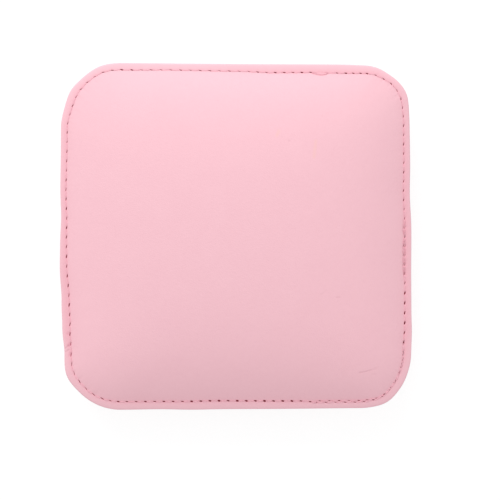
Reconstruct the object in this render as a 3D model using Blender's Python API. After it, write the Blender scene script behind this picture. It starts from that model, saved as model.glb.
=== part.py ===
"""Square padded hand rest for manicures, in metres, +Z up, standing on its flat underside.

Two equal leatherette covers have their edges turned in and are topstitched together, all round,
over a foam core. The origin is the middle of the footprint, and +Y points to the back edge.
"""

import math

import bmesh
import bpy
from mathutils import Vector

# Outline of the edge, seen from above, before the corners are rounded
BACK_WIDTH = 0.1490
FRONT_WIDTH = 0.1480
LEFT_DEPTH = 0.1484
RIGHT_DEPTH = 0.1462
# The back edge sits this far to the left, and the front edge as far to the right
SKEW = 0.00087
BACK_LEFT_RADIUS = 0.0265
BACK_RIGHT_RADIUS = 0.0200
FRONT_RIGHT_RADIUS = 0.0223
FRONT_LEFT_RADIUS = 0.0240
# The filling pushes the left and right edges out between their corners
LEFT_BOW = 0.00107
RIGHT_BOW = 0.00045

# Leatherette covers
SHEET = 0.0007
# Height of the hollow that the turned edge rolls around
ROLL_SPACE = 0.00085
# Width of the flat bed that the stitches press into the cover, beside the rolled edge
STITCH_BED = 0.0014
# How far the turned-in edge reaches past the stitch line
TURN_IN = 0.0045
# Distance from the stitch bed to the flat middle of the underside, and how fast its slope eases
SHOULDER = 0.0345
SHOULDER_POWER = 2.2
# The top slopes further in, and its middle is this much further from the seam
TOP_SHOULDER = 0.0560
TOP_SHOULDER_POWER = 2.9
CROWN = 0.0006
# Corner radius of the flat middle
MIDDLE_RADIUS = 0.0240

# Clear distances between pieces and between layers
SEAM_GAP = 0.0003
FOLD_GAP = 0.0001
FOAM_CLEARANCE = 0.0003
THREAD_CLEARANCE = 0.0003

# Foam slab, measured in its middle without the crown
FOAM_THICKNESS = 0.0250

# Stitching: the seam starts on the front edge and ends on the right edge, beside its own start
THREAD_DIAMETER = 0.00035
STITCH_PITCH = 0.00405
STITCH_RISE = 0.00025
LANE_SPACING = 0.0007
SEAM_START_X = 0.0320
SEAM_OVERLAP = 0.1050

# Mesh resolution
CORNER_SEGMENTS = 8
SIDE_SEGMENTS = 4
SHOULDER_SEGMENTS = 6
ROLL_SEGMENTS = 6
CROWN_RINGS = 2
SMOOTH_BELOW = math.radians(40)

# Sizes that follow from those above
ROLL_RADIUS = SHEET + ROLL_SPACE / 2
STITCH_INSET = 2 * ROLL_RADIUS + STITCH_BED / 2
BED_INNER_INSET = STITCH_INSET + STITCH_BED / 2
BED_HEIGHT = SEAM_GAP / 2 + 2 * SHEET + FOLD_GAP
MIDDLE_INSET = BED_INNER_INSET + SHOULDER
TURN_IN_INSET = STITCH_INSET + TURN_IN
HALF_HEIGHT = FOAM_THICKNESS / 2 + FOAM_CLEARANCE + SHEET

LEATHERETTE_PINK = (0.90, 0.55, 0.61, 1.0)
THREAD_PINK = (0.80, 0.38, 0.46, 1.0)
FOAM_CREAM = (0.86, 0.80, 0.62, 1.0)


def clear_scene():
    for obj in list(bpy.data.objects):
        bpy.data.objects.remove(obj, do_unlink=True)


def make_material(name, color, roughness):
    material = bpy.data.materials.new(name)
    material.use_nodes = True
    shader = material.node_tree.nodes["Principled BSDF"]
    shader.inputs["Base Color"].default_value = color
    shader.inputs["Roughness"].default_value = roughness
    shader.inputs["Metallic"].default_value = 0.0
    return material


def left_of(direction):
    """The direction a quarter turn to the left, which is inwards on a side walked anticlockwise."""
    return Vector((-direction.y, direction.x))


def sides_of_outline():
    """(start corner, end corner, radius at the start corner, bow), anticlockwise from front left."""
    front_left = Vector((SKEW - FRONT_WIDTH / 2, -LEFT_DEPTH / 2))
    front_right = Vector((SKEW + FRONT_WIDTH / 2, -RIGHT_DEPTH / 2))
    back_right = Vector((BACK_WIDTH / 2 - SKEW, RIGHT_DEPTH / 2))
    back_left = Vector((-BACK_WIDTH / 2 - SKEW, LEFT_DEPTH / 2))
    return (
        (front_left, front_right, FRONT_LEFT_RADIUS, 0.0),
        (front_right, back_right, FRONT_RIGHT_RADIUS, RIGHT_BOW),
        (back_right, back_left, BACK_RIGHT_RADIUS, 0.0),
        (back_left, front_left, BACK_LEFT_RADIUS, LEFT_BOW),
    )


def radius_at(radius, inset):
    """A corner's radius on the ring at this inset: parallel to the edge at first, rounder inside."""
    share = inset / MIDDLE_INSET
    return radius - inset + (MIDDLE_RADIUS - radius + MIDDLE_INSET) * share**2


def inset_corners(sides, inset):
    """Each side's start corner after all four sides have moved in by this inset."""
    corners = []
    for number, (start, end, _, _) in enumerate(sides):
        before_start, before_end, _, _ = sides[number - 1]
        here = (end - start).normalized()
        before = (before_end - before_start).normalized()
        reach = inset / (1 + before.dot(here))
        corners.append(start + (left_of(before) + left_of(here)) * reach)
    return corners


def corner_arc(corner, before, after, radius):
    """Points of the arc that rounds a corner between two directions of travel."""
    turn = before.angle(after)
    centre = corner - before * radius * math.tan(turn / 2) + left_of(before) * radius
    spoke = -left_of(before) * radius
    arc = []
    for step in range(CORNER_SEGMENTS + 1):
        angle = turn * step / CORNER_SEGMENTS
        turned = Vector(
            (
                spoke.x * math.cos(angle) - spoke.y * math.sin(angle),
                spoke.x * math.sin(angle) + spoke.y * math.cos(angle),
            )
        )
        arc.append(centre + turned)
    return arc


def raw_ring(inset):
    """The outline moved in by this inset, with rounded corners and bowed sides."""
    sides = sides_of_outline()
    corners = inset_corners(sides, inset)
    fade = 1 - inset / MIDDLE_INSET
    arcs = []
    for number, corner in enumerate(corners):
        following = corners[(number + 1) % len(corners)]
        before = corner - corners[number - 1]
        after = following - corner
        shorter = min(before.length, after.length)
        radius = min(radius_at(sides[number][2], inset), 0.45 * shorter)
        arcs.append(corner_arc(corner, before.normalized(), after.normalized(), radius))
    points = []
    for number, arc in enumerate(arcs):
        points.extend(arc)
        start = arc[-1]
        end = arcs[(number + 1) % len(arcs)][0]
        outward = -left_of((end - start).normalized())
        for step in range(1, SIDE_SEGMENTS):
            share = step / SIDE_SEGMENTS
            bow = sides[number][3] * fade * math.sin(math.pi * share) ** 2
            points.append(start.lerp(end, share) + outward * bow)
    return points


def middle_of(points):
    """The middle of the box around these points."""
    across = [point.x for point in points]
    along = [point.y for point in points]
    return Vector((min(across) + max(across), min(along) + max(along))) / 2


FOOTPRINT_MIDDLE = middle_of(raw_ring(0.0))


def ring(inset):
    """The outline moved in by this inset, with the middle of the footprint at the origin."""
    return [point - FOOTPRINT_MIDDLE for point in raw_ring(inset)]


def face_height(side, inset):
    """Height over the seam of a cover's outer face, inside its stitch bed. side is as in make_cover."""
    reach = TOP_SHOULDER if side > 0 else SHOULDER
    power = TOP_SHOULDER_POWER if side > 0 else SHOULDER_POWER
    crown = CROWN if side > 0 else 0.0
    share = min((inset - BED_INNER_INSET) / reach, 1.0)
    return BED_HEIGHT + (HALF_HEIGHT + crown - BED_HEIGHT) * (1 - (1 - share) ** power)


def cover_profile(side):
    """A cover's outer face as (inset, height over the seam), from the middle ring outwards."""
    profile = []
    for step in range(SHOULDER_SEGMENTS + 1):
        inset = MIDDLE_INSET - SHOULDER * step / SHOULDER_SEGMENTS
        profile.append(Vector((inset, face_height(side, inset))))
    roll_middle = Vector((ROLL_RADIUS, SEAM_GAP / 2 + ROLL_RADIUS))
    first = math.asin((BED_HEIGHT - roll_middle.y) / ROLL_RADIUS)
    last = math.radians(270)
    for step in range(ROLL_SEGMENTS + 1):
        angle = first + (last - first) * step / ROLL_SEGMENTS
        spoke = Vector((math.cos(angle), math.sin(angle)))
        profile.append(roll_middle + spoke * ROLL_RADIUS)
    profile.append(Vector((TURN_IN_INSET, SEAM_GAP / 2)))
    return profile


def set_back(profile, depth):
    """The profile moved to the sheet's far side by this depth, with mitred corners."""
    normals = [Vector((0.0, 1.0))]
    for start, end in zip(profile, profile[1:]):
        along = (end - start).normalized()
        normals.append(Vector((along.y, -along.x)))
    normals.append(normals[-1])
    moved = []
    for number, point in enumerate(profile):
        mitre = normals[number] + normals[number + 1]
        mitre /= 1 + normals[number].dot(normals[number + 1])
        moved.append(point - mitre * depth)
    return moved


def add_ring(mesh, inset, height):
    return [mesh.verts.new((point.x, point.y, height)) for point in ring(inset)]


def join_rings(mesh, first, second):
    count = len(first)
    for number in range(count):
        following = (number + 1) % count
        mesh.faces.new((first[number], first[following], second[following], second[number]))


def crown_lift(share):
    """Rise of the top from its middle ring to this share of the way back out from the middle."""
    inset = BACK_WIDTH / 2 - (BACK_WIDTH / 2 - MIDDLE_INSET) * share
    return Vector((0.0, 0.0, face_height(1, inset) - face_height(1, MIDDLE_INSET)))


def close_ring(mesh, edge, side):
    """Closes a face at its middle ring: flat on the underside, crowned on top."""
    if side < 0:
        mesh.faces.new(edge)
        return
    middle = Vector((0.0, 0.0, 0.0))
    for vert in edge:
        middle += vert.co / len(edge)
    outer = edge
    for step in range(CROWN_RINGS, 0, -1):
        share = step / (CROWN_RINGS + 1)
        lift = crown_lift(share)
        inner = [mesh.verts.new(middle.lerp(vert.co, share) + lift) for vert in edge]
        join_rings(mesh, outer, inner)
        outer = inner
    top = mesh.verts.new(middle + crown_lift(0.0))
    for number, vert in enumerate(outer):
        mesh.faces.new((vert, outer[(number + 1) % len(outer)], top))


def finish_mesh(name, mesh, material):
    """Turns the bmesh into a smooth-shaded object with its own material."""
    bmesh.ops.recalc_face_normals(mesh, faces=mesh.faces)
    data = bpy.data.meshes.new(name)
    mesh.to_mesh(data)
    mesh.free()
    data.materials.append(material)
    data.shade_smooth()
    data.set_sharp_from_angle(angle=SMOOTH_BELOW)
    obj = bpy.data.objects.new(name, data)
    bpy.context.scene.collection.objects.link(obj)
    return obj


def make_cover(name, side, material):
    """A leatherette cover with its edge turned in. side is 1 for the top and -1 for the bottom."""
    mesh = bmesh.new()
    outer_face = cover_profile(side)
    inner_face = set_back(outer_face, SHEET)
    section = inner_face + outer_face[::-1]
    rings = [add_ring(mesh, inset, HALF_HEIGHT + side * height) for inset, height in section]
    for first, second in zip(rings, rings[1:]):
        join_rings(mesh, first, second)
    close_ring(mesh, rings[0], side)
    close_ring(mesh, rings[-1], side)
    return finish_mesh(name, mesh, material)


def foam_profile(side):
    """One face of the foam as (inset, height over the seam), from the middle ring to its edge."""
    shoulder = cover_profile(side)[: SHOULDER_SEGMENTS + 1]
    face = set_back(shoulder, SHEET + FOAM_CLEARANCE)
    edge_inset = TURN_IN_INSET + FOAM_CLEARANCE
    profile = []
    for inner, outer in zip(face, face[1:]):
        profile.append(inner)
        if outer.x <= edge_inset:
            share = (inner.x - edge_inset) / (inner.x - outer.x)
            profile.append(inner.lerp(outer, share))
            break
    return profile


def make_foam(name, material):
    """The foam slab, pinched thinner towards its edge by the covers."""
    mesh = bmesh.new()
    upper = [(inset, height) for inset, height in foam_profile(1)]
    lower = [(inset, -height) for inset, height in reversed(foam_profile(-1))]
    rings = [add_ring(mesh, inset, HALF_HEIGHT + height) for inset, height in upper + lower]
    for first, second in zip(rings, rings[1:]):
        join_rings(mesh, first, second)
    close_ring(mesh, rings[0], 1)
    close_ring(mesh, rings[-1], -1)
    return finish_mesh(name, mesh, material)


def seam_line():
    """The stitch line as a closed list of points that starts on the front edge."""
    points = ring(STITCH_INSET)
    first = 0
    while not (points[first].y < 0 and points[first].x > SEAM_START_X):
        first += 1
    before = points[first - 1]
    share = (SEAM_START_X - before.x) / (points[first].x - before.x)
    start = before.lerp(points[first], share)
    return [start] + points[first:] + points[:first] + [start]


def place_on(line, distance):
    """The point this far along a closed line of points, and the direction of travel there."""
    left = distance
    while True:
        for start, end in zip(line, line[1:]):
            length = (end - start).length
            if left <= length and length > 0:
                return start.lerp(end, left / length), (end - start).normalized()
            left -= length


def make_thread(name, side, material):
    """One thread of the lockstitch seam, a tube that dips at each needle hole."""
    line = seam_line()
    round_once = sum((end - start).length for start, end in zip(line, line[1:]))
    seam_length = round_once + SEAM_OVERLAP
    stitches = round(seam_length / STITCH_PITCH)
    single_run = round_once - SEAM_OVERLAP
    low = BED_HEIGHT + THREAD_CLEARANCE + THREAD_DIAMETER / 2
    curve = bpy.data.curves.new(name, "CURVE")
    curve.dimensions = "3D"
    curve.twist_mode = "Z_UP"
    curve.bevel_depth = THREAD_DIAMETER / 2
    curve.bevel_resolution = 0
    curve.use_fill_caps = True
    spline = curve.splines.new("POLY")
    spline.points.add(2 * stitches)
    for number, point in enumerate(spline.points):
        distance = seam_length * number / (2 * stitches)
        place, along = place_on(line, distance)
        # The seam drifts outwards on its single run, so that its end lies beside its start
        drift = min(max((distance - SEAM_OVERLAP) / single_run, 0.0), 1.0)
        place = place + left_of(along) * LANE_SPACING * (0.5 - drift)
        height = low + STITCH_RISE * (number % 2)
        point.co = (place.x, place.y, HALF_HEIGHT + side * height, 1.0)
    curve.materials.append(material)
    obj = bpy.data.objects.new(name, curve)
    bpy.context.scene.collection.objects.link(obj)
    return obj


def build():
    clear_scene()
    make_cover("top_cover", 1, make_material("top_leatherette", LEATHERETTE_PINK, 0.55))
    make_cover("bottom_cover", -1, make_material("bottom_leatherette", LEATHERETTE_PINK, 0.55))
    make_foam("foam_core", make_material("foam", FOAM_CREAM, 0.95))
    make_thread("topstitch_thread", 1, make_material("top_thread", THREAD_PINK, 0.7))
    make_thread("bobbin_thread", -1, make_material("bottom_thread", THREAD_PINK, 0.7))


build()
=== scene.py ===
"""Looks of the padded manicure hand rest: its leatherette covers, their stitching and the foam inside.

Lengths are in metres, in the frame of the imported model. A place on the edge is its distance along the
outline, anticlockwise from where the front left corner begins to round. An inset is a distance in
from the edge, and an offset is a distance in from the seam line.
"""

import math

import bpy
import numpy as np
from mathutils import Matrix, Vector


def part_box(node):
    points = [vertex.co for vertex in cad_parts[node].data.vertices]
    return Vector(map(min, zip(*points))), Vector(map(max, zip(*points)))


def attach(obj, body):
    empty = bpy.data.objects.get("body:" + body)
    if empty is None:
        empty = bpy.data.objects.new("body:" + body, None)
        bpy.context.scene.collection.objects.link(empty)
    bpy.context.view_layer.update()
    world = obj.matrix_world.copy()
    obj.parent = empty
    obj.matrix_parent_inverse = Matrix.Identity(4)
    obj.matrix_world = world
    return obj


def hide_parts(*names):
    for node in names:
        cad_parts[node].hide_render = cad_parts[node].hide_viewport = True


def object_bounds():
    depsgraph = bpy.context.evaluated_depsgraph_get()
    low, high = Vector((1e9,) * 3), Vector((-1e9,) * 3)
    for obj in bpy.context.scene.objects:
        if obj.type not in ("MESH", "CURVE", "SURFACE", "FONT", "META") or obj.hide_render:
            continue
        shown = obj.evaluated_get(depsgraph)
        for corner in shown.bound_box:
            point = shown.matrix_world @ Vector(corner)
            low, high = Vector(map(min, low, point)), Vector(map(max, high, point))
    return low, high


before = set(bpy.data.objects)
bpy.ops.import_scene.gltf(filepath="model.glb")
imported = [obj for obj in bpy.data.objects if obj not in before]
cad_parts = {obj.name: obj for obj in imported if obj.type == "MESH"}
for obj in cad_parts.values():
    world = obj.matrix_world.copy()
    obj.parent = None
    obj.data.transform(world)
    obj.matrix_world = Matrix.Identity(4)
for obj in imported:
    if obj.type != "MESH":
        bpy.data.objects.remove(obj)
cad_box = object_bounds()

MM = 0.001

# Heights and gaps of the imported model
TOP_LOW, TOP_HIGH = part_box("top_cover")
BOTTOM_LOW, BOTTOM_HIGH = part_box("bottom_cover")
SEAM_HEIGHT = (TOP_LOW.z + BOTTOM_HIGH.z) / 2
# The seam presses the covers together, so their gap is a third of the model's
SEAM_GAP = (TOP_LOW.z - BOTTOM_HIGH.z) / 3

# The photograph: where the middle of the footprint lies in it, and the size of a pixel
PIXEL = 0.4274 * MM
PHOTO_WIDTH = 500
FOOTPRINT_PIXEL = (235.8, 236.4)
# The camera is over the middle of the photograph, with this lens and sensor in millimetres
CAMERA_PLACE = (
    (PHOTO_WIDTH / 2 - FOOTPRINT_PIXEL[0]) * PIXEL,
    (FOOTPRINT_PIXEL[1] - PHOTO_WIDTH / 2) * PIXEL,
)
LENS = 85.0
SENSOR_WIDTH = 36.0
CAMERA_DISTANCE = PHOTO_WIDTH * PIXEL * LENS / SENSOR_WIDTH

# Outline of the edge before its corners are rounded, as in the CAD model
BACK_WIDTH = 149.0 * MM
FRONT_WIDTH = 148.0 * MM
LEFT_DEPTH = 148.4 * MM
RIGHT_DEPTH = 146.2 * MM
SKEW = 0.87 * MM
# Corner radii and side bows, anticlockwise from the front left corner and the front side
CORNER_RADII = (24.0 * MM, 22.3 * MM, 20.0 * MM, 26.5 * MM)
SIDE_BOWS = (0.0, 0.45 * MM, 0.0, 1.07 * MM)
# The last ring that runs parallel to the edge, and its corner radius
MIDDLE_INSET = 38.15 * MM
MIDDLE_RADIUS = 24.0 * MM
# Bulges and flats that sewing left in the edge: place, push outwards, reach each way
EDGE_WAVES = (
    (0.0 * MM, -0.16 * MM, 3.5 * MM),
    (9.5 * MM, 0.80 * MM, 5.5 * MM),
    (54.0 * MM, -0.12 * MM, 9.0 * MM),
    (68.0 * MM, 0.20 * MM, 9.0 * MM),
    (105.0 * MM, 0.12 * MM, 20.0 * MM),
    (151.0 * MM, 0.70 * MM, 5.5 * MM),
    (168.0 * MM, -0.42 * MM, 7.0 * MM),
    (185.0 * MM, 0.20 * MM, 5.0 * MM),
    (212.0 * MM, -0.17 * MM, 12.0 * MM),
    (243.0 * MM, -0.48 * MM, 9.0 * MM),
    (280.0 * MM, -0.20 * MM, 4.0 * MM),
    (286.5 * MM, 0.25 * MM, 4.0 * MM),
    (298.0 * MM, -0.55 * MM, 5.5 * MM),
    (308.5 * MM, -0.28 * MM, 6.0 * MM),
    (365.0 * MM, -0.12 * MM, 35.0 * MM),
    (422.0 * MM, 0.45 * MM, 5.5 * MM),
    (438.0 * MM, 0.25 * MM, 3.5 * MM),
    (447.0 * MM, -0.48 * MM, 5.5 * MM),
    (493.0 * MM, -0.55 * MM, 8.0 * MM),
    (517.0 * MM, 0.45 * MM, 8.0 * MM),
    (533.0 * MM, 0.45 * MM, 6.0 * MM),
    (542.0 * MM, 0.50 * MM, 5.0 * MM),
)
WAVE_FADE = 34.0 * MM
# The whole seam also rises and falls a little: height and length of each wave
EDGE_SWAYS = ((0.13 * MM, 3), (0.07 * MM, 7))

# Section of a cover: the stitch bed, and the rim that falls away from it to the rounded edge
SHEET = 0.7 * MM
BED_HEIGHT = 2.1 * MM
RIM_FALL = 0.14
RIM_CURL = 0.03 / MM
RIM_ROUND = 1.1 * MM
ROUND_START = math.radians(26)
STITCH_INSET = 2.95 * MM
BED_REACH = 0.3 * MM
BED_EASE = 0.5 * MM
TURN_IN_INSET = 7.45 * MM
# A cover is a tight sheet over springy foam. The foam pushes a dent in the sheet out over this length
DOME_REACH = 23.0 * MM
# In the front corners the sheet is slacker, so the foam fills them further: share of the reach left
CORNER_REACHES = (0.72, 0.62, 0.9, 1.0)
CORNER_SIZE = 26.0 * MM
# Foam inside: its gap to the covers, and its cut edge just inside the turned-in allowance
FOAM_GAP = 0.3 * MM
FOAM_INSET = 7.75 * MM

# The seam line's inset, by place
SEAM_INSETS = (
    (0.0 * MM, 3.0 * MM),
    (9.5 * MM, 3.4 * MM),
    (21.0 * MM, 3.1 * MM),
    (35.0 * MM, 3.6 * MM),
    (55.0 * MM, 3.45 * MM),
    (74.0 * MM, 3.8 * MM),
    (104.0 * MM, 3.55 * MM),
    (118.0 * MM, 3.4 * MM),
    (145.0 * MM, 3.4 * MM),
    (180.0 * MM, 3.5 * MM),
    (190.0 * MM, 3.05 * MM),
    (205.0 * MM, 2.85 * MM),
    (262.0 * MM, 2.85 * MM),
    (275.0 * MM, 2.65 * MM),
    (287.0 * MM, 3.1 * MM),
    (294.0 * MM, 2.8 * MM),
    (307.0 * MM, 3.55 * MM),
    (318.0 * MM, 3.9 * MM),
    (332.0 * MM, 3.65 * MM),
    (350.0 * MM, 3.8 * MM),
    (360.0 * MM, 3.3 * MM),
    (378.0 * MM, 3.1 * MM),
    (394.0 * MM, 2.95 * MM),
    (407.0 * MM, 3.15 * MM),
    (431.0 * MM, 2.95 * MM),
    (440.0 * MM, 3.45 * MM),
    (455.0 * MM, 2.85 * MM),
    (490.0 * MM, 2.4 * MM),
    (518.0 * MM, 3.15 * MM),
    (538.0 * MM, 3.5 * MM),
)
SEAM_FADE = 20.0 * MM

# Stitching: it goes round the edge once and then on over its own start. Stitches so far, by place
FIRST_ROUND = (
    (120.9 * MM, 0),
    (141.6 * MM, 5),
    (164.5 * MM, 10),
    (183.9 * MM, 15),
    (205.2 * MM, 20),
    (236.8 * MM, 28),
    (280.4 * MM, 39),
    (307.2 * MM, 45),
    (316.7 * MM, 48),
    (331.8 * MM, 52),
    (358.3 * MM, 59),
    (408.4 * MM, 71),
    (452.9 * MM, 81),
    (505.8 * MM, 94),
    (547.4 * MM, 104),
)
SECOND_ROUND = (
    (28.0 * MM, 111),
    (71.6 * MM, 122),
    (118.4 * MM, 134),
    (143.4 * MM, 140),
    (165.7 * MM, 145),
    (183.9 * MM, 149),
    (205.2 * MM, 154),
    (229.0 * MM, 160),
)
# How far inside the seam line each round runs, by place
FIRST_LANE = (
    (117.0 * MM, 0.0 * MM),
    (120.0 * MM, -0.74 * MM),
    (138.0 * MM, -0.74 * MM),
    (146.0 * MM, -0.4 * MM),
    (157.0 * MM, 0.0 * MM),
)
SECOND_LANE = (
    (206.0 * MM, 0.0 * MM),
    (212.0 * MM, 0.7 * MM),
    (222.0 * MM, 0.7 * MM),
    (225.5 * MM, 0.1 * MM),
    (228.0 * MM, 0.75 * MM),
    (232.0 * MM, 0.6 * MM),
    (240.0 * MM, 0.0 * MM),
)
# How open the needle holes are, by place
HOLE_OPENNESS = (
    (5.0 * MM, 0.33),
    (25.0 * MM, 0.38),
    (35.0 * MM, 0.65),
    (62.0 * MM, 0.8),
    (72.0 * MM, 1.25),
    (112.0 * MM, 1.25),
    (120.0 * MM, 0.42),
    (146.0 * MM, 0.45),
    (158.0 * MM, 0.4),
    (170.0 * MM, 0.5),
    (182.0 * MM, 0.8),
    (202.0 * MM, 0.75),
    (209.0 * MM, 0.24),
    (231.0 * MM, 0.2),
    (238.0 * MM, 0.5),
    (290.0 * MM, 0.42),
    (304.0 * MM, 0.5),
    (310.0 * MM, 0.66),
    (348.0 * MM, 0.57),
    (358.0 * MM, 0.3),
    (372.0 * MM, 0.42),
    (404.0 * MM, 0.42),
    (412.5 * MM, 0.87),
    (420.0 * MM, 0.36),
    (475.0 * MM, 0.4),
    (490.0 * MM, 0.52),
    (535.0 * MM, 0.6),
)
HOLE_LENGTHS = (
    (4.0 * MM, 2.0 * MM),
    (26.0 * MM, 2.0 * MM),
    (34.0 * MM, 1.4 * MM),
    (112.0 * MM, 1.35 * MM),
    (118.0 * MM, 1.2 * MM),
    (148.0 * MM, 1.25 * MM),
    (175.0 * MM, 1.7 * MM),
    (203.0 * MM, 1.7 * MM),
    (237.0 * MM, 1.4 * MM),
    (310.0 * MM, 1.3 * MM),
    (360.0 * MM, 1.5 * MM),
    (450.0 * MM, 1.4 * MM),
)
HOLE_WIDTH = 0.59 * MM
HOLE_DEPTH = 0.50 * MM
HOLE_SLANT = math.radians(13)
STITCH_SLANT = 0.15 * MM
HOLE_VARIETY = 0.25
# Each stitch pulls the leather down round its holes, and its thread lies in a groove: depth and reach
STITCH_PULL = 0.08 * MM
PULL_LENGTH = 1.1 * MM
PULL_WIDTH = 0.8 * MM
GROOVE_DEPTH = 0.08 * MM
GROOVE_LENGTH = 2.2 * MM
GROOVE_WIDTH = 0.22 * MM
# A hole and all that it does to the leather ends this far along the seam
HOLE_REACH = 4.0 * MM
# Two holes were missed on the back side, and the thread lies slack there
MISSED_HOLES = (50, 51)
SLACK_SHARE = 0.64
SLACK_SKEW = 0.65
SLACK_BOW = 0.72 * MM
SLACK_LIFT = 0.40 * MM
# It leaves a line of painted shade beside it, which also sinks the leather a little: how dark, and how
# wide
SLACK_SHADE = 0.36
SLACK_SHADE_WIDTH = 0.30 * MM
# Where the seam ends, both of its rounds lie proud of the leather: places, height and rise from a hole
PROUD_PLACES = (208.0 * MM, 233.0 * MM)
PROUD_HEIGHT = 0.14 * MM
PROUD_EASE = 0.8 * MM
# Both rounds have painted shade along them there, which also sinks the leather a little: how dark along
# the first and the second, and how wide
PROUD_SHADES = (0.19, 0.26)
PROUD_SHADE_WIDTH = 0.25 * MM
PROUD_SHADE_FADE = 2.0 * MM
# The leather gets painted shade, a deeper pink, in the valley along the seam and on the rim: how much, by
# place
SEAM_SHADE_SHARES = (
    (0.0 * MM, 0.95),
    (12.0 * MM, 0.6),
    (24.0 * MM, 0.85),
    (35.0 * MM, 0.95),
    (145.0 * MM, 1.0),
    (156.0 * MM, 0.6),
    (168.0 * MM, 0.85),
    (180.0 * MM, 1.05),
    (235.0 * MM, 1.05),
    (268.0 * MM, 0.95),
    (284.0 * MM, 0.6),
    (297.0 * MM, 0.85),
    (350.0 * MM, 0.8),
    (375.0 * MM, 0.4),
    (412.0 * MM, 0.3),
    (425.0 * MM, 0.4),
    (438.0 * MM, 0.75),
    (510.0 * MM, 1.05),
    (540.0 * MM, 1.45),
)
# Its reach outwards, by place, and inwards
SEAM_SHADE_OUT = (
    (8.0 * MM, 1.2 * MM),
    (30.0 * MM, 1.0 * MM),
    (165.0 * MM, 1.1 * MM),
    (185.0 * MM, 2.4 * MM),
    (238.0 * MM, 2.3 * MM),
    (270.0 * MM, 1.2 * MM),
    (298.0 * MM, 1.4 * MM),
    (320.0 * MM, 2.3 * MM),
    (355.0 * MM, 2.0 * MM),
    (380.0 * MM, 1.3 * MM),
    (430.0 * MM, 1.3 * MM),
    (455.0 * MM, 1.6 * MM),
    (490.0 * MM, 1.8 * MM),
    (515.0 * MM, 2.3 * MM),
    (545.0 * MM, 2.3 * MM),
)
SEAM_SHADE_IN = (
    (205.0 * MM, 0.45 * MM),
    (213.0 * MM, 1.0 * MM),
    (232.0 * MM, 1.0 * MM),
    (240.0 * MM, 0.45 * MM),
)
SEAM_SHADE_PANEL = 1.6 * MM

# Gathers just inside the seam: wavelength and phase of each wave
GATHERS = ((2.3 * MM, 0.0), (3.7 * MM, 1.3), (6.1 * MM, 4.1))
GATHER_HEIGHT = 0.012 * MM
GATHER_REACH = 1.2 * MM

# Thread
THREAD_RADIUS = 0.165 * MM
THREAD_TWIST = 1.2 * MM
THREAD_STEP = 0.15 * MM
THREAD_SIDES = 10
THREAD_DIVE = 0.95 * MM
# The thread is down in a hole over this share of its length, each way from its middle, and bends up
# over this length
THREAD_DOWN = 0.31
THREAD_BEND = 0.4 * MM

# Creases and scuffs, as lines between pixels of the photograph, with the leather's height over the
# seam there and their strength
CREASES = (
    ((359.8, 372.5), (365.5, 371.5), 6.0 * MM, 0.9),
    ((365.5, 371.5), (370.8, 369.9), 6.0 * MM, 1.0),
    ((370.8, 369.9), (376.0, 368.9), 6.0 * MM, 0.4),
    ((374.5, 368.0), (378.5, 366.8), 6.0 * MM, 0.3),
    ((371.5, 374.2), (376.0, 374.6), 6.0 * MM, 0.2),
    ((288.6, 141.0), (289.8, 140.9), 11.0 * MM, 0.6),
    ((336.8, 297.6), (339.6, 297.2), 10.5 * MM, 0.6),
    ((320.5, 294.5), (326.0, 290.5), 11.0 * MM, 0.3),
    ((65.0, 348.4), (68.8, 345.8), 2.0 * MM, 1.0),
    ((65.4, 351.8), (69.2, 349.6), 2.0 * MM, 0.8),
)
CREASE_WIDTH = 0.55 * MM
# Tucks where the seam has drawn the rim in near the front left corner, with painted shade in them, given
# in the same way
TUCKS = (
    ((67.6, 333.9), (69.4, 333.2), 2.0 * MM, 0.6),
    ((68.3, 345.6), (70.4, 343.8), 2.0 * MM, 1.0),
    ((69.9, 355.2), (70.9, 353.2), 2.0 * MM, 0.8),
)
TUCK_WIDTH = 0.9 * MM
# Two faint yellowish marks on the top, given in the same way
STAINS = (
    ((277.0, 135.5), (278.8, 131.0), 10.5 * MM, 1.0),
    ((314.0, 157.0), (315.8, 141.0), 11.0 * MM, 1.0),
)
STAIN_WIDTH = 1.1 * MM

# Mesh resolution
SPOKES = 2000
SEAM_BAND = 0.95 * MM
SEAM_ROWS = 18
RIM_ROWS = 5
ROUND_ROWS = 10
ROW_GROWTH = 1.16
PANEL_REACH = 72.0 * MM
INNER_STEP = 8
NET_STEP = 20

CORNERS = 4


def left_of(direction):
    return np.array((-direction[1], direction[0]))


def unit(vector):
    return vector / np.linalg.norm(vector)


def smoothstep(value):
    clipped = np.clip(value, 0.0, 1.0)
    return clipped * clipped * (3 - 2 * clipped)


EDGE_CORNERS = (
    np.array((SKEW - FRONT_WIDTH / 2, -LEFT_DEPTH / 2)),
    np.array((SKEW + FRONT_WIDTH / 2, -RIGHT_DEPTH / 2)),
    np.array((BACK_WIDTH / 2 - SKEW, RIGHT_DEPTH / 2)),
    np.array((-BACK_WIDTH / 2 - SKEW, LEFT_DEPTH / 2)),
)
SIDE_DIRECTIONS = [
    unit(EDGE_CORNERS[(number + 1) % CORNERS] - EDGE_CORNERS[number]) for number in range(CORNERS)
]


def on_corner(number, inset, share):
    """Points on one rounded corner at these insets and shares of its turn."""
    before = SIDE_DIRECTIONS[number - 1]
    here = SIDE_DIRECTIONS[number]
    reach = inset / (1 + before @ here)
    corner = EDGE_CORNERS[number] + np.outer(reach, left_of(before) + left_of(here))
    radius = CORNER_RADII[number]
    rounding = (MIDDLE_RADIUS - radius + MIDDLE_INSET) * (inset / MIDDLE_INSET) ** 2
    radius = radius - inset + rounding
    turn = math.acos(before @ here)
    centre = corner + np.outer(radius, left_of(before) - before * math.tan(turn / 2))
    spoke = -left_of(before)
    cosine = np.cos(turn * share)
    sine = np.sin(turn * share)
    turned = np.stack((spoke[0] * cosine - spoke[1] * sine, spoke[0] * sine + spoke[1] * cosine), 1)
    return centre + turned * radius[:, None]


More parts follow.
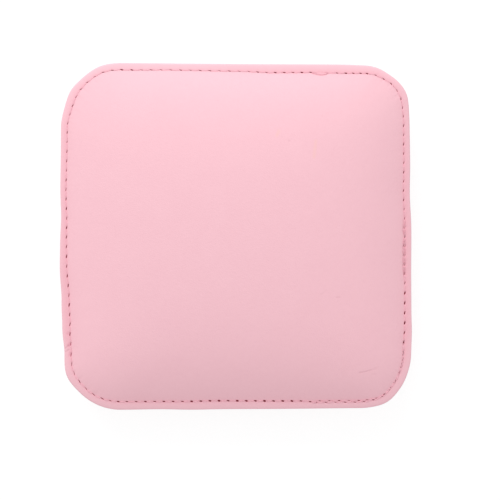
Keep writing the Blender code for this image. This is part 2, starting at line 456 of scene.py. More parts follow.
def smooth_ring(stations, inset):
    """Points at these stations of the plain outline, moved in by these insets.

    Stations count corners and sides: corner n spans 2n to 2n + 1, and side n from there to 2n + 2.
    """
    points = np.zeros((len(stations), 2))
    for number in range(CORNERS):
        here = (stations >= 2 * number) & (stations < 2 * number + 1)
        points[here] = on_corner(number, inset[here], stations[here] - 2 * number)
        here = (stations >= 2 * number + 1) & (stations < 2 * number + 2)
        share = stations[here] - 2 * number - 1
        depth = inset[here]
        start = on_corner(number, depth, np.ones(len(depth)))
        end = on_corner((number + 1) % CORNERS, depth, np.zeros(len(depth)))
        bow = SIDE_BOWS[number] * (1 - depth / MIDDLE_INSET) * np.sin(math.pi * share) ** 2
        outward = -left_of(SIDE_DIRECTIONS[number])
        points[here] = start + (end - start) * share[:, None] + np.outer(bow, outward)
    return points


def outward_at(points):
    """Unit normals of a closed ring of points, pointing out of it."""
    along = np.roll(points, -1, axis=0) - np.roll(points, 1, axis=0)
    along /= np.linalg.norm(along, axis=1)[:, None]
    return np.stack((along[:, 1], -along[:, 0]), 1)


def lengths_along(points):
    """Distance of each point from the first along a closed ring, with the whole length last."""
    steps = np.linalg.norm(np.roll(points, -1, axis=0) - points, axis=1)
    return np.concatenate(((0.0,), np.cumsum(steps)))


FINE_STATIONS = np.arange(0, 2 * CORNERS, 0.002)
FINE_EDGE = smooth_ring(FINE_STATIONS, np.zeros(len(FINE_STATIONS)))
FINE_PLACES = lengths_along(FINE_EDGE)
EDGE_LENGTH = FINE_PLACES[-1]
BOX_MIDDLE = (FINE_EDGE.min(axis=0) + FINE_EDGE.max(axis=0)) / 2
HALF_WIDTH = (cad_box[1][0] - cad_box[0][0]) / 2


def place_of(stations):
    return np.interp(stations, np.append(FINE_STATIONS, 2 * CORNERS), FINE_PLACES)


def by_place(table, place):
    """Value from a table of (place, value) pairs, which runs on round the edge."""
    places, values = zip(*table)
    return np.interp(place, places, values, period=EDGE_LENGTH)


def round_way(distance, whole):
    """The same distance round a closed line, taken the shorter way."""
    return (distance + whole / 2) % whole - whole / 2


def edge_push(stations):
    place = place_of(stations)
    push = np.zeros(len(stations))
    for middle, height, reach in EDGE_WAVES:
        push += height * np.exp(-((round_way(place - middle, EDGE_LENGTH) / reach) ** 2))
    return push


def ring(stations, inset):
    """The real outline, waves and all, moved in by these insets."""
    parallel = np.minimum(inset, MIDDLE_INSET)
    points = smooth_ring(stations, parallel)
    push = edge_push(stations) * smoothstep(1 - parallel / WAVE_FADE)
    points += outward_at(points) * push[:, None] - BOX_MIDDLE
    # Inside the middle ring, rings shrink towards the centre
    return points * ((HALF_WIDTH - inset) / (HALF_WIDTH - parallel))[:, None]


def seam_inset(stations):
    return by_place(SEAM_INSETS, place_of(stations))


SEAM_LENGTHS = lengths_along(ring(FINE_STATIONS, seam_inset(FINE_STATIONS)))
SEAM_LENGTH = SEAM_LENGTHS[-1]


def station_at(seam_distance):
    """Station at this distance along the seam line."""
    ends = np.append(FINE_STATIONS, 2 * CORNERS)
    return np.interp(seam_distance % SEAM_LENGTH, SEAM_LENGTHS, ends) % (2 * CORNERS)


# Spokes run from the edge to the middle, evenly spaced where they cross the seam
SPOKE_DISTANCES = np.arange(SPOKES) * SEAM_LENGTH / SPOKES
STATIONS = station_at(SPOKE_DISTANCES)
PLACES = place_of(STATIONS)
SPOKE_SEAM = seam_inset(STATIONS)


def inset_at(offset):
    """Each spoke's inset at these offsets. Far from the seam its wander fades out."""
    wander = (SPOKE_SEAM - STITCH_INSET) * smoothstep(1 - offset / SEAM_FADE)
    return offset + STITCH_INSET + wander


def seam_distance(travelled):
    """Distance along the seam line for a distance along the edge, over more than one turn."""
    turns = travelled // EDGE_LENGTH
    return turns * SEAM_LENGTH + np.interp(travelled - turns * EDGE_LENGTH, FINE_PLACES, SEAM_LENGTHS)


def needle_holes():
    """Distance along the seam line of each needle hole, in the order of sewing."""
    marks = [*FIRST_ROUND, *((place + EDGE_LENGTH, count) for place, count in SECOND_ROUND)]
    places, counts = zip(*marks)
    return seam_distance(np.interp(np.arange(counts[-1] + 1), counts, places))


HOLES = needle_holes()


def lane_offset(distance):
    """How far inside the seam line the needle goes in, at this distance of sewing along it."""
    place = place_of(station_at(distance))
    second = distance - HOLES[0] > SEAM_LENGTH
    return np.where(second, by_place(SECOND_LANE, place), by_place(FIRST_LANE, place))


def slack_at(distance):
    """How far the slack stitch on the back side bows inwards here, from 0 to 1."""
    start = HOLES[MISSED_HOLES[0] - 1]
    end = HOLES[MISSED_HOLES[-1] + 1]
    share = np.clip((distance - start) / (end - start), 0.0, 1.0)
    return np.sin(math.pi * np.clip((share - 1 + SLACK_SHARE) / SLACK_SHARE, 0.0, 1.0) ** SLACK_SKEW)


def stitch_fields(side, offset):
    """Depth and painted shade of the needle holes and of the shade lines beside the slack and the proud
    thread, and depth of the hollow round the holes and under the thread, on each spoke.
    """
    hole = np.zeros(SPOKES)
    hollow = np.zeros(SPOKES)
    for number, distance in enumerate(HOLES):
        along = round_way(SPOKE_DISTANCES - distance, SEAM_LENGTH)
        near = np.abs(along) < HOLE_REACH
        along = along[near]
        across = offset[near] - lane_offset(distance)
        pull = STITCH_PULL * np.exp(-((along / PULL_LENGTH) ** 2) - (across / PULL_WIDTH) ** 2)
        groove = GROOVE_DEPTH * np.exp(-((across / GROOVE_WIDTH) ** 2)) * (np.abs(along) < GROOVE_LENGTH)
        hollow[near] = np.maximum(hollow[near], pull + groove)
        if side > 0 and number in MISSED_HOLES:
            continue
        open_share = by_place(HOLE_OPENNESS, place_of(station_at(distance)))
        open_share *= 1 + HOLE_VARIETY * math.sin(2.4 * number)
        hole_length = by_place(HOLE_LENGTHS, place_of(station_at(distance)))
        hole_width = HOLE_WIDTH * open_share**0.8
        length = along * math.cos(HOLE_SLANT) - across * math.sin(HOLE_SLANT)
        width = across * math.cos(HOLE_SLANT) + along * math.sin(HOLE_SLANT)
        reach = np.hypot(length / (hole_length / 2), width / (hole_width / 2))
        depth = min(0.5 + 0.5 * open_share, 1.0)
        hole[near] = np.maximum(hole[near], depth * smoothstep((1.25 - reach) / 0.6))
    # Painted shade beside the slack thread and along both proud rounds, which also sinks the leather a
    # little
    if side > 0:
        slack = slack_at(SPOKE_DISTANCES)
        across = offset - SLACK_BOW * slack
        shade_line = SLACK_SHADE * smoothstep(slack / 0.3) * np.exp(-((across / SLACK_SHADE_WIDTH) ** 2))
        hole = np.maximum(hole, shade_line)
        to_end = np.minimum(PLACES - PROUD_PLACES[0], PROUD_PLACES[1] - PLACES)
        for lane, darkness in zip((FIRST_LANE, SECOND_LANE), PROUD_SHADES):
            across = offset - by_place(lane, PLACES)
            shade_line = smoothstep(to_end / PROUD_SHADE_FADE) * np.exp(-((across / PROUD_SHADE_WIDTH) ** 2))
            hole = np.maximum(hole, darkness * shade_line)
    return hole, hollow


def gathers(offset):
    """Height of the small gathers that the seam leaves in the panel, deepest at the corners."""
    to_corner = np.abs(round_way(STATIONS % 2 - 0.5, 2))
    strength = 0.35 + 1.3 * smoothstep(1 - to_corner / 0.75)
    wave = sum(np.sin(2 * math.pi * PLACES / length + phase) for length, phase in GATHERS)
    shape = offset / GATHER_REACH * np.exp(1 - offset / GATHER_REACH)
    return GATHER_HEIGHT * strength * wave * np.clip(shape, 0.0, None)


def sway(place, inset):
    """How far the seam rises or falls, fading towards the middle."""
    height = np.zeros(len(inset))
    for rise, count in EDGE_SWAYS:
        height += rise * np.sin(2 * math.pi * count * place / EDGE_LENGTH + count)
    return height * smoothstep(1 - inset / WAVE_FADE)


def eased(distance):
    """The distance where it is above 0, and 0 where it is below, with a rounded bend between."""
    return (distance + np.sqrt(distance**2 + BED_EASE**2)) / 2


def seam_height(slope, offset):
    """Height over the seam plane near the seam, where the panel rises from its bed at this slope."""
    rim = RIM_FALL * eased(-offset) + RIM_CURL * np.minimum(offset, 0.0) ** 2
    return BED_HEIGHT + slope * eased(offset - BED_REACH) - rim


def seam_shade(offset):
    """How much painted shade lies here along the seam, from 0 to 1."""
    reach = np.where(offset < 0, by_place(SEAM_SHADE_OUT, PLACES), by_place(SEAM_SHADE_IN, PLACES))
    near = np.exp(-((offset / reach) ** 2))
    inside = 0.6 * near + 0.4 * np.exp(-offset / SEAM_SHADE_PANEL)
    return np.where(offset < 0, near, inside) * by_place(SEAM_SHADE_SHARES, PLACES)


def panel_rows():
    """(spokes to a point, offset) of the rows of a face, from its seam band to its middle."""
    rows = []
    offset = SEAM_BAND
    while offset < PANEL_REACH:
        step = 1
        for limit in (2.0 * MM, 6.0 * MM, 15.0 * MM, 32.0 * MM):
            if offset > limit:
                step *= 2
        rows.append((step, offset))
        offset *= ROW_GROWTH
    return rows


def join_rings(first, first_count, second, second_count):
    """Faces between two rings of points, of which one may have twice as many as the other."""
    if first_count < second_count:
        return [face[::-1] for face in join_rings(second, second_count, first, first_count)]
    faces = []
    ratio = first_count // second_count
    for number in range(second_count):
        after = (number + 1) % second_count
        here = first + ratio * number
        there = first + ratio * (number + 1) % first_count
        if ratio == 1:
            faces.append((here, there, second + after, second + number))
        else:
            faces.append((here, here + 1, second + number))
            faces.append((here + 1, there, second + after, second + number))
    return faces


def fan(first, count, middle):
    return [(first + number, first + (number + 1) % count, middle) for number in range(count)]


class Net:
    """A coarse net over a panel, on which the shape of its tight sheet is solved."""

    def __init__(self):
        self.offsets = np.array([BED_REACH] + [offset for _, offset in panel_rows()])
        stations = STATIONS[::NET_STEP]
        count = len(stations)
        rings = [ring(stations, inset_at(row * np.ones(SPOKES))[::NET_STEP]) for row in self.offsets]
        faces = []
        for number in range(len(rings) - 1):
            for face in join_rings(number * count, count, (number + 1) * count, count):
                faces += [(face[0], face[1], face[2]), (face[0], face[2], face[3])]
        middle = len(rings) * count
        faces += fan(middle - count, count, middle)
        points = np.vstack(rings + [rings[-1].mean(axis=0)])
        self.edge = np.arange(len(points)) < count
        self.areas = np.zeros(len(points))
        self.system = np.zeros((len(points), len(points)))
        self.weigh(points, np.array(faces))

    def weigh(self, points, faces):
        """Adds up the sheet's pull and the foam's push over the net's triangles."""
        reach = DOME_REACH * np.ones(len(faces))
        for corner, share in zip(EDGE_CORNERS, CORNER_REACHES):
            away = np.linalg.norm(points[faces].mean(axis=1) - corner, axis=1) / CORNER_SIZE
            reach *= 1 - (1 - share) * np.exp(-(away**2))
        for turn in range(3):
            here, after, before = (faces[:, (turn + step) % 3] for step in range(3))
            one = points[after] - points[here]
            other = points[before] - points[here]
            doubled = np.abs(one[:, 0] * other[:, 1] - one[:, 1] * other[:, 0])
            pull = (one * other).sum(axis=1) / doubled / 2 * reach**2
            for first, second in ((after, before), (before, after)):
                np.add.at(self.system, (first, second), -pull)
            for point in (after, before):
                np.add.at(self.system, (point, point), pull)
            np.add.at(self.areas, here, doubled / 6)
        self.system += np.diag(self.areas)

    def heights(self, push, ceiling):
        """Height of the sheet at each point. Where it would pass the ceiling, it lies against it."""
        load = self.areas * push
        height = np.zeros(len(load))
        flat = np.zeros(len(load), bool)
        for _ in range(40):
            loose = ~self.edge & ~flat
            height[flat] = ceiling
            height[loose] = 0.0
            rest = (load - self.system @ height)[loose]
            height[loose] = np.linalg.solve(self.system[np.ix_(loose, loose)], rest)
            force = load - self.system @ height
            now_flat = (flat & (force > 0)) | (loose & (height > ceiling))
            if (now_flat == flat).all():
                break
            flat = now_flat
        return height


class Panel:
    """Outer face of one cover inside its seam: how far it rises over its bed on every spoke."""

    def __init__(self, net, height):
        count = SPOKES // NET_STEP
        self.offsets = net.offsets
        waves = np.fft.rfft(height[:-1].reshape(-1, count))
        self.rise = np.fft.irfft(waves, SPOKES) * NET_STEP
        self.slope = self.rise[1] / (self.offsets[1] - self.offsets[0])

    def height(self, offset):
        """Height over the seam plane, at one offset for each spoke, without the stitches."""
        row = np.clip(np.searchsorted(self.offsets, offset) - 1, 0, len(self.offsets) - 2)
        share = (offset - self.offsets[row]) / (self.offsets[row + 1] - self.offsets[row])
        share = np.clip(share, 0.0, 1.0)
        spokes = np.arange(SPOKES)
        rise = self.rise[row, spokes] * (1 - share) + self.rise[row + 1, spokes] * share
        return seam_height(self.slope, offset) + rise - self.slope * np.maximum(offset - BED_REACH, 0.0)

    def set_back(self, offset, depth):
        """Insets and heights of a face this far under the outer one."""
        step = 0.01 * MM
        lean = np.arctan((self.height(offset + step) - self.height(offset)) / step)
        return inset_at(offset) + depth * np.sin(lean), self.height(offset) - depth * np.cos(lean)


def make_panels():
    """The top panel reaches the model's full height, and the bottom one lies flat on the table."""
    net = Net()
    bulge = net.heights(1.0, math.inf)
    push = (TOP_HIGH.z - SEAM_HEIGHT - BED_HEIGHT) / bulge.max()
    bottom = net.heights(push, SEAM_HEIGHT - BOTTOM_LOW.z - BED_HEIGHT)
    return {1: Panel(net, bulge * push), -1: Panel(net, bottom)}


PANELS = make_panels()


class Section:
    """Rings of one piece, collected from the middle of its first face round to the middle of its last."""

    def __init__(self, side):
        self.side = side
        self.rings = []
        self.fields = []

    def add(self, step, inset, height, hole=0.0, shade_share=0.0):
        """Adds a ring with every step-th spoke, at these insets and heights over the seam plane."""
        stations = STATIONS[::step]
        plan = ring(stations, inset[::step])
        up = SEAM_HEIGHT + (self.side * height + sway(PLACES, inset))[::step]
        self.rings.append(np.column_stack((plan, np.maximum(up, 0.0))))
        self.fields.append(np.stack((hole * np.ones(SPOKES), shade_share * np.ones(SPOKES)))[:, ::step])


def add_outer_face(section):
    panel = PANELS[section.side]
    ones = np.ones(SPOKES)
    for step, row in panel_rows()[::-1]:
        offset = row * ones
        _, hollow = stitch_fields(section.side, offset)
        height = panel.height(offset) + gathers(offset) - hollow
        section.add(step, inset_at(offset), height, 0.0, seam_shade(offset))
    for row in range(1, SEAM_ROWS + 1):
        offset = SEAM_BAND * (1 - 2 * row / SEAM_ROWS) * ones
        hole, hollow = stitch_fields(section.side, offset)
        height = panel.height(offset) + gathers(offset) - hollow - HOLE_DEPTH * hole
        section.add(1, inset_at(offset), height, hole, seam_shade(offset))
    band_end = SPOKE_SEAM - SEAM_BAND
    round_inset = RIM_ROUND * (1 - math.sin(ROUND_START))
    for row in range(1, RIM_ROWS + 1):
        inset = band_end + (round_inset - band_end) * row / RIM_ROWS
        offset = inset - SPOKE_SEAM
        section.add(1, inset, panel.height(offset), 0.0, seam_shade(offset))
    # The edge is rounded from the rim's height down to the turned-in allowance
    upright = (panel.height(round_inset - SPOKE_SEAM) - SEAM_GAP / 2) / (1 + math.cos(ROUND_START))
    for row in range(1, ROUND_ROWS + 1):
        angle = ROUND_START + (math.pi - ROUND_START) * row / ROUND_ROWS
        inset = RIM_ROUND * (1 - math.sin(angle)) * ones
        height = SEAM_GAP / 2 + upright * (1 + math.cos(angle))
        section.add(1 if row < ROUND_ROWS - 2 else 2, inset, height)


def add_inner_face(section):
    panel = PANELS[section.side]
    ones = np.ones(SPOKES)
    for step, inset in ((4, 2.5 * MM), (8, 5.0 * MM), (8, TURN_IN_INSET)):
        section.add(step, inset * ones, SEAM_GAP / 2 * ones)
    section.add(8, TURN_IN_INSET * ones, (SEAM_GAP / 2 + SHEET) * ones)
    # Hollow inside the rounded edge
    low = SEAM_GAP / 2 + SHEET
    top = np.maximum(panel.height(RIM_ROUND - SPOKE_SEAM) - SHEET, low)
    middle = (top + low) / 2
    for degrees in (270, 210, 150, 90):
        angle = math.radians(degrees)
        inset = RIM_ROUND + (RIM_ROUND - SHEET) * math.cos(angle)
        section.add(8, inset * ones, middle + (top - middle) * math.sin(angle))
    for _, row in [(1, 0.0)] + panel_rows()[::2]:
        section.add(INNER_STEP, *panel.set_back(row * ones, SHEET))


def close_section(name, section, side):
    """One closed mesh from a section's rings, with a point in the middle of the first and the last."""
    counts = [len(points) for points in section.rings]
    starts = np.concatenate(((0,), np.cumsum(counts))).tolist()
    faces = []
    for number in range(len(counts) - 1):
        faces += join_rings(starts[number], counts[number], starts[number + 1], counts[number + 1])
    faces += [face[::-1] for face in fan(0, counts[0], starts[-1])]
    faces += fan(starts[-2], counts[-1], starts[-1] + 1)
    if side < 0:
        faces = [face[::-1] for face in faces]
    middles = [section.rings[0].mean(axis=0), section.rings[-1].mean(axis=0)]
    data = bpy.data.meshes.new(name)
    data.from_pydata(np.vstack(section.rings + middles).tolist(), [], faces)
    data.shade_smooth()
    return link(name, data)


def make_cover(name, side):
    """One leatherette cover as a closed sheet. side is 1 for the top and -1 for the bottom."""
    section = Section(side)
    add_outer_face(section)
    add_inner_face(section)
    cover = close_section(name, section, side)
    values = np.hstack(section.fields + [np.zeros((2, 2))]).astype(np.float32)
    # Fields for the shader: the holes' depth and painted shade, and the painted shade along the seam
    for number, field in enumerate(("hole", "seam_shade")):
        layer = cover.data.attributes.new(field, "FLOAT", "POINT")
        layer.data.foreach_set("value", values[number])
    return cover


def make_foam(name):
    """The foam slab, squeezed to the shape that the covers leave it."""
    section = Section(1)
    ones = np.ones(SPOKES)
    for side in (1, -1):
        faces = [PANELS[side].set_back(row * ones, SHEET + FOAM_GAP) for _, row in panel_rows()[::2]]
        faces = [(inset, height) for inset, height in faces if inset.min() > FOAM_INSET + 1.0 * MM]
        _, edge_height = PANELS[side].set_back(FOAM_INSET - SPOKE_SEAM, SHEET + FOAM_GAP)
        faces.insert(0, (FOAM_INSET * ones, edge_height))
        for inset, height in faces[::-side]:
            section.add(INNER_STEP, inset, side * height)
    return close_section(name, section, 1)


def link(name, data):
    obj = bpy.data.objects.new(name, data)
    bpy.context.scene.collection.objects.link(obj)
    return obj


def thread_path(side):
    """Points along the thread's middle, from the first needle hole to the last."""
    holes = HOLES if side < 0 else np.delete(HOLES, MISSED_HOLES)
    distance = np.linspace(holes[0], holes[-1], round((holes[-1] - holes[0]) / THREAD_STEP))
    stitch = np.clip(np.searchsorted(holes, distance, side="right") - 1, 0, len(holes) - 2)
    length = (holes[1:] - holes[:-1])[stitch]
    share = (distance - holes[stitch]) / length
    to_hole = np.minimum(share, 1 - share) * length
    # Each stitch leaves its hole on the outer side and goes in again on the inner side
    slant = STITCH_SLANT * (2 * share - 1) * smoothstep(to_hole / THREAD_BEND)
    slack = slack_at(distance) * (side > 0)
    offset = lane_offset(distance) + slant + SLACK_BOW * slack
    stations = station_at(distance)
    seam = seam_inset(stations)
    order = np.argsort(stations)
    plan = np.zeros((len(distance), 2))
    plan[order] = thread_plan(stations[order], (seam + offset)[order])
    slope = np.interp(distance, SPOKE_DISTANCES, PANELS[side].slope, period=SEAM_LENGTH)
    place = place_of(stations)
    proud = (place > PROUD_PLACES[0]) & (place < PROUD_PLACES[1])
    lying = seam_height(slope, offset) - GROOVE_DEPTH + 0.4 * THREAD_RADIUS
    lying += SLACK_LIFT * slack + PROUD_HEIGHT * proud * smoothstep(to_hole / PROUD_EASE)
    down = THREAD_DOWN * by_place(HOLE_LENGTHS, place)
    height = lying - THREAD_DIVE * (1 - smoothstep((to_hole - down) / THREAD_BEND))
    return np.column_stack((plan, SEAM_HEIGHT + side * height + sway(place, seam)))


def thread_plan(stations, inset):
    """Plan of single points off the rings, with the edge's own waves."""
    points = smooth_ring(stations, inset)
    ahead = smooth_ring((stations + 0.002) % (2 * CORNERS), inset)
    along = ahead - points
    along /= np.linalg.norm(along, axis=1)[:, None]
    push = edge_push(stations) * smoothstep(1 - inset / WAVE_FADE)
    return points + np.stack((along[:, 1], -along[:, 0]), 1) * push[:, None] - BOX_MIDDLE


def make_thread(name, side):
    """A twisted two-ply thread as a closed tube."""
    path = thread_path(side)
    count = len(path)
    along = np.gradient(path, axis=0)
    along /= np.linalg.norm(along, axis=1)[:, None]
    beside = np.cross(along, (0.0, 0.0, 1.0))
    beside /= np.linalg.norm(beside, axis=1)[:, None]
    above = np.cross(beside, along)
    travelled = np.concatenate(((0.0,), np.cumsum(np.linalg.norm(np.diff(path, axis=0), axis=1))))
    rings = []
    for number in range(THREAD_SIDES):
        angle = 2 * math.pi * number / THREAD_SIDES
        ply = np.cos(2 * (angle - 2 * math.pi * travelled / THREAD_TWIST))
        radius = THREAD_RADIUS * (0.86 + 0.14 * ply)
        rings.append(path + (beside * math.cos(angle) + above * math.sin(angle)) * radius[:, None])
    points = np.stack(rings, 1).reshape(-1, 3)
    faces = []
    for number in range(count - 1):
        here = number * THREAD_SIDES
        faces += join_rings(here, THREAD_SIDES, here + THREAD_SIDES, THREAD_SIDES)
    faces.append(tuple(range(THREAD_SIDES))[::-1])
    faces.append(tuple(range((count - 1) * THREAD_SIDES, count * THREAD_SIDES)))
    data = bpy.data.meshes.new(name)
    data.from_pydata(points.tolist(), [], faces)
    data.shade_smooth()
    return link(name, data)


class Nodes:
    """A material's node tree, with short calls that add and link its nodes."""

    def __init__(self, name):
        self.material = bpy.data.materials.new(name)
        self.material.use_nodes = True
        self.tree = self.material.node_tree
        self.shader = self.tree.nodes["Principled BSDF"]
        self.place = self.add("ShaderNodeTexCoord").outputs["Object"]

    def add(self, kind, **settings):
        node = self.tree.nodes.new(kind)
        for setting, value in settings.items():
            setattr(node, setting, value)
        return node

    def feed(self, socket, value):
        """Links an output to this input, or sets the input to a plain value."""
        if isinstance(value, bpy.types.NodeSocket):
            self.tree.links.new(value, socket)
        else:
            socket.default_value = value

    def math(self, operation, first, second=0.0, third=0.0):
        node = self.add("ShaderNodeMath", operation=operation)
        for socket, value in zip(node.inputs, (first, second, third)):
            self.feed(socket, value)
        return node.outputs[0]

    def vector(self, operation, first, second=(0.0, 0.0, 0.0)):
        node = self.add("ShaderNodeVectorMath", operation=operation)
        self.feed(node.inputs[0], first)
        if operation == "SCALE":
            self.feed(node.inputs["Scale"], second)
        else:
            self.feed(node.inputs[1], second)
        number = operation in ("DOT_PRODUCT", "LENGTH")
        return node.outputs["Value" if number else "Vector"]

    def noise(self, size, detail=2.0, roughness=0.5):
        """Noise from 0 to 1 whose lumps are about this wide."""
        node = self.add("ShaderNodeTexNoise")
        self.feed(node.inputs["Vector"], self.place)
        node.inputs["Scale"].default_value = 1 / size
        node.inputs["Detail"].default_value = detail
        node.inputs["Roughness"].default_value = roughness
        return node.outputs["Fac"]

    def cells(self, size, feature="F1"):
        """Distance inside cells of about this width."""
        node = self.add("ShaderNodeTexVoronoi", feature=feature)
        self.feed(node.inputs["Vector"], self.place)
        node.inputs["Scale"].default_value = 1 / size
        return node.outputs["Distance"]

    def between(self, value, low, high, start=0.0, end=1.0):
        """The value's range from low to high, mapped to start to end."""
        node = self.add("ShaderNodeMapRange")
        for socket, number in zip(node.inputs, (value, low, high, start, end)):
            self.feed(socket, number)
        return node.outputs["Result"]

    def blend(self, share, first, second):
        node = self.add("ShaderNodeMix", data_type="RGBA")
        self.feed(node.inputs[0], share)
        self.feed(node.inputs[6], first)
        self.feed(node.inputs[7], second)
        return node.outputs[2]

    def bump(self, height, distance, normal=None):
        node = self.add("ShaderNodeBump")
        node.inputs["Distance"].default_value = distance
        self.feed(node.inputs["Height"], height)
        if normal is not None:
            self.feed(node.inputs["Normal"], normal)
        return node.outputs["Normal"]


def line_mask(nodes, start, end, height, strength, width):
    """Its strength on a line between two pixels of the photograph, falling to 0 beside it."""
    axis = Vector((*CAMERA_PLACE, 0.0))
    middle = PHOTO_WIDTH / 2
    # What lies higher is nearer the camera, where a pixel is smaller
    pixel = PIXEL * (1 - height / CAMERA_DISTANCE)
    first = axis + Vector((start[0] - middle, middle - start[1], 0.0)) * pixel
    second = axis + Vector((end[0] - middle, middle - end[1], 0.0)) * pixel
    line = second - first
    flat = nodes.vector("MULTIPLY", nodes.place, (1.0, 1.0, 0.0))
    away = nodes.vector("SUBTRACT", flat, tuple(first))
    share = nodes.vector("DOT_PRODUCT", away, tuple(line / line.length_squared))
    share = nodes.math("MINIMUM", nodes.math("MAXIMUM", share, 0.0), 1.0)
    nearest = nodes.vector("SCALE", tuple(line), share)
    distance = nodes.vector("LENGTH", nodes.vector("SUBTRACT", away, nearest))
    return nodes.between(distance, 0.0, width, strength, 0.0)


def lines_mask(nodes, lines, width):
    mask = 0.0
    for start, end, height, strength in lines:
        mask = nodes.math("MAXIMUM", mask, line_mask(nodes, start, end, height, strength, width))
    return mask


def leatherette(name, wear_and_shade):
    """Matte pink synthetic leather: a fine grain, faint mottling, and painted shade in its needle holes,
    along its seam, in its tucks and in its creases.
    """
    nodes = Nodes(name)
    pale = (0.937, 0.556, 0.622, 1.0)
    deep = (0.923, 0.541, 0.608, 1.0)
    painted_seam_shade = (0.905, 0.478, 0.547, 1.0)
    painted_hole_shade = (0.300, 0.020, 0.045, 1.0)
    stain_tan = (0.93, 0.56, 0.53, 1.0)
    painted_tuck_shade = (0.76, 0.29, 0.38, 1.0)
    crease_shade = (0.55, 0.22, 0.28, 1.0)
    mottle = nodes.math("ADD", nodes.noise(14 * MM, 3.0), nodes.noise(2.2 * MM, 2.0))
    color = nodes.blend(nodes.between(mottle, 0.65, 1.35), deep, pale)
    # Painted shade along the seam, a deeper pink in its valley and on the rim
    near_seam = nodes.add("ShaderNodeAttribute", attribute_name="seam_shade").outputs["Fac"]
    color = nodes.blend(near_seam, color, painted_seam_shade)
    # Painted shade in the needle holes, and in lines beside the slack and the proud thread
    hole = nodes.add("ShaderNodeAttribute", attribute_name="hole").outputs["Fac"]
    color = nodes.blend(nodes.between(hole, 0.15, 0.7), color, painted_hole_shade)
    grain = nodes.cells(0.42 * MM, "SMOOTH_F1")
    normal = nodes.bump(nodes.noise(9 * MM, 2.0), 0.02 * MM)
    normal = nodes.bump(nodes.noise(1.1 * MM, 3.0), 0.050 * MM, normal)
    normal = nodes.bump(grain, 0.045 * MM, normal)
    # Stains, and creases and tucks with painted shade in them
    if wear_and_shade:
        stains = lines_mask(nodes, STAINS, STAIN_WIDTH)
        color = nodes.blend(nodes.math("MULTIPLY", stains, 0.6), color, stain_tan)
        # Painted shade in the tucks, which the bump also dents
        tucks = lines_mask(nodes, TUCKS, TUCK_WIDTH)
        color = nodes.blend(nodes.math("MULTIPLY", tucks, 0.6), color, painted_tuck_shade)
        normal = nodes.bump(nodes.math("MULTIPLY", tucks, -1.0), 0.1 * MM, normal)
        creases = lines_mask(nodes, CREASES, CREASE_WIDTH)
        color = nodes.blend(nodes.math("MULTIPLY", creases, 0.25), color, crease_shade)
        normal = nodes.bump(nodes.math("MULTIPLY", creases, -1.0), 0.07 * MM, normal)
    roughness = nodes.between(nodes.noise(3.5 * MM, 3.0), 0.3, 0.7, 0.56, 0.66)
    nodes.feed(nodes.shader.inputs["Base Color"], color)
    nodes.feed(nodes.shader.inputs["Roughness"], roughness)
    nodes.feed(nodes.shader.inputs["Normal"], normal)
    nodes.shader.inputs["Specular IOR Level"].default_value = 0.22
    return nodes.material


def sewing_thread():
    """Pink polyester thread, with fibres along it and a little fuzz in its sheen."""
    nodes = Nodes("sewing_thread")
    fibres = nodes.noise(0.12 * MM, 3.0, 0.6)
    between_fibres = (0.86, 0.46, 0.54, 1.0)
    fibre_pink = (0.92, 0.53, 0.61, 1.0)
    color = nodes.blend(fibres, between_fibres, fibre_pink)
    nodes.feed(nodes.shader.inputs["Base Color"], color)
    nodes.feed(nodes.shader.inputs["Normal"], nodes.bump(fibres, 0.02 * MM))
    nodes.shader.inputs["Roughness"].default_value = 0.6
    nodes.shader.inputs["Sheen Weight"].default_value = 0.15
    return nodes.material


def sponge():
    """Cream open-cell foam: pores of two sizes, with painted shade inside them."""
    nodes = Nodes("sponge")
    pores = nodes.cells(0.9 * MM)
    small = nodes.cells(0.35 * MM)
    depth = nodes.math("MULTIPLY", nodes.between(pores, 0.1, 0.5), nodes.between(small, 0.05, 0.4))
    aged_cream = (0.82, 0.74, 0.52, 1.0)
    fresh_cream = (0.90, 0.85, 0.68, 1.0)
    painted_pore_shade = (0.45, 0.38, 0.22, 1.0)
    tint = nodes.blend(nodes.noise(12 * MM), aged_cream, fresh_cream)
    # Painted shade inside the pores
    color = nodes.blend(depth, painted_pore_shade, tint)
    nodes.feed(nodes.shader.inputs["Base Color"], color)
    nodes.feed(nodes.shader.inputs["Normal"], nodes.bump(depth, 0.3 * MM))
    nodes.shader.inputs["Roughness"].default_value = 0.95
    return nodes.material


def dress(piece, node):
    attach(piece, "root")
    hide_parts(node)


def make_object():
    covers = (("leatherette_top", 1, "top_cover"), ("leatherette_bottom", -1, "bottom_cover"))
    for name, side, node in covers:
        cover = make_cover(name, side)
        cover.data.materials.append(leatherette(name, wear_and_shade=side > 0))
        dress(cover, node)
    thread = sewing_thread()
    threads = (("stitches_top", 1, "topstitch_thread"), ("stitches_bottom", -1, "bobbin_thread"))
    for name, side, node in threads:
        stitches = make_thread(name, side)
        stitches.data.materials.append(thread)
        dress(stitches, node)
    foam = make_foam("sponge_core")
    foam.data.materials.append(sponge())
    dress(foam, "foam_core")


def seen_rays(nodes, links):
    """1 for rays that show a surface to the camera, straight or in a glossy or clear surface."""
    path = nodes.new("ShaderNodeLightPath")
    seen = path.outputs["Is Camera Ray"]
    for kind in ("Is Glossy Ray", "Is Transmission Ray"):
        either = nodes.new("ShaderNodeMath")
        either.operation = "MAXIMUM"
        links.new(seen, either.inputs[0])
        links.new(path.outputs[kind], either.inputs[1])
        seen = either.outputs[0]
    return seen


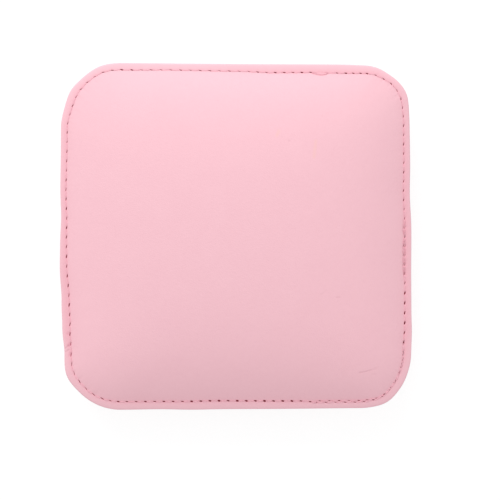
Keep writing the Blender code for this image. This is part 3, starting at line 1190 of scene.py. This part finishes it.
def make_floor():
    """A white floor that shows as plain white, with a faint shadow of the object."""
    size = 3.0
    # Just under the contact patch, so that the two faces don't coincide
    level = -0.05 * MM
    data = bpy.data.meshes.new("floor")
    corners = [(x * size, y * size, level) for x, y in ((-1, -1), (1, -1), (1, 1), (-1, 1))]
    data.from_pydata(corners, [], [(0, 1, 2, 3)])
    floor = link("floor", data)
    material = bpy.data.materials.new("white_floor")
    material.use_nodes = True
    nodes = material.node_tree.nodes
    links = material.node_tree.links
    nodes.clear()
    output = nodes.new("ShaderNodeOutputMaterial")
    lit = nodes.new("ShaderNodeBsdfDiffuse")
    lit.inputs["Color"].default_value = (0.86, 0.86, 0.86, 1)
    # What the camera sees of it glows, and is just grey enough under that for a faint shadow
    shaded = nodes.new("ShaderNodeBsdfDiffuse")
    shaded.inputs["Color"].default_value = (0.22, 0.22, 0.22, 1)
    glow = nodes.new("ShaderNodeEmission")
    glow.inputs["Strength"].default_value = 0.84
    seen = nodes.new("ShaderNodeAddShader")
    links.new(shaded.outputs[0], seen.inputs[0])
    links.new(glow.outputs[0], seen.inputs[1])
    mix = nodes.new("ShaderNodeMixShader")
    links.new(seen_rays(nodes, links), mix.inputs[0])
    links.new(lit.outputs[0], mix.inputs[1])
    links.new(seen.outputs[0], mix.inputs[2])
    links.new(mix.outputs[0], output.inputs[0])
    data.materials.append(material)


def make_world(strength):
    """White surroundings that light at this strength and are seen as plain white."""
    world = bpy.data.worlds.new("studio")
    bpy.context.scene.world = world
    world.use_nodes = True
    nodes = world.node_tree.nodes
    links = world.node_tree.links
    nodes.clear()
    output = nodes.new("ShaderNodeOutputWorld")
    mix = nodes.new("ShaderNodeMixShader")
    links.new(seen_rays(nodes, links), mix.inputs[0])
    for number, level in ((1, strength), (2, 1.0)):
        background = nodes.new("ShaderNodeBackground")
        background.inputs["Color"].default_value = (1, 1, 1, 1)
        background.inputs["Strength"].default_value = level
        links.new(background.outputs[0], mix.inputs[number])
    links.new(mix.outputs[0], output.inputs[0])


def add_lamp(name, place, width, height, power):
    data = bpy.data.lights.new(name, "AREA")
    data.shape = "RECTANGLE"
    data.size = width
    data.size_y = height
    data.energy = power
    lamp = link(name, data)
    lamp.location = place
    lamp.rotation_euler = (-Vector(place)).to_track_quat("-Z", "Y").to_euler()


def make_camera():
    """A camera that looks straight down and frames the model as the photograph does."""
    data = bpy.data.cameras.new("camera")
    data.lens = LENS
    data.sensor_width = SENSOR_WIDTH
    camera = link("camera", data)
    camera.location = (*CAMERA_PLACE, SEAM_HEIGHT + CAMERA_DISTANCE)
    bpy.context.scene.camera = camera


make_object()
make_floor()
make_world(0.755)
add_lamp("window", (-0.25, 0.9, 0.55), 0.9, 0.5, 6.25)
make_camera()
bpy.context.scene.view_settings.view_transform = "Standard"
